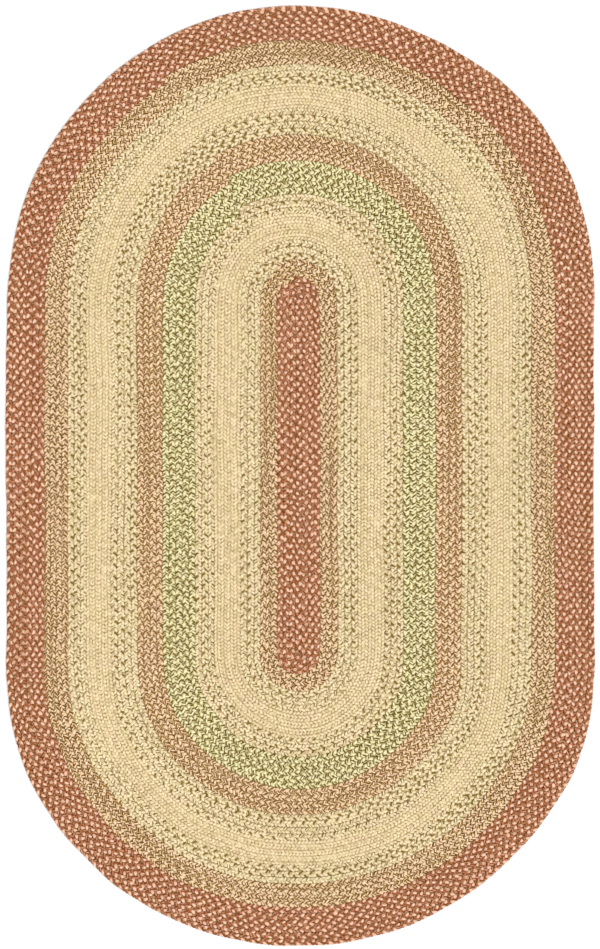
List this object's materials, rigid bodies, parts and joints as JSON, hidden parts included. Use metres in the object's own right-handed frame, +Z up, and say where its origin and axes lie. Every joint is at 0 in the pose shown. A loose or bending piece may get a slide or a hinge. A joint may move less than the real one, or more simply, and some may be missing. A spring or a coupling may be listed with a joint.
{
  "type": "oval braided rug",
  "caption": "Flat oval rug of one long braid wound round a centre strip, in rounds of red, tan, cream, flecked, green and rust yarn.",
  "frame": {"origin": "on the floor under the middle of the rug's box", "axes": "+X across the rug, +Y along its length towards the end with the seam, +Z up"},
  "size_m": [1.52, 2.4334, 0.0095],
  "materials": {
    "red_yarn": "matt braided yarn, rust red with pink and brown strands",
    "tan_yarn": "matt braided yarn, peach and brown tweed",
    "fleck_yarn": "matt braided yarn, cream with olive-brown flecks",
    "cream_yarn": "matt braided yarn, plain cream",
    "green_yarn": "matt braided yarn, pale yellow and olive",
    "rust_yarn": "matt braided yarn, peach and rust brown"
  },
  "bodies": {
    "root": {"braid_01_red": "red_yarn", "braid_02_tan": "tan_yarn", "braid_03_fleck": "fleck_yarn", "braid_04_cream": "cream_yarn", "braid_05_fleck": "fleck_yarn", "braid_06_green": "green_yarn", "braid_07_rust": "rust_yarn", "braid_08_fleck": "fleck_yarn", "braid_09_cream": "cream_yarn", "braid_10_fleck": "fleck_yarn", "braid_11_tan": "tan_yarn", "braid_12_red": "red_yarn"}
  },
  "joints": []
}
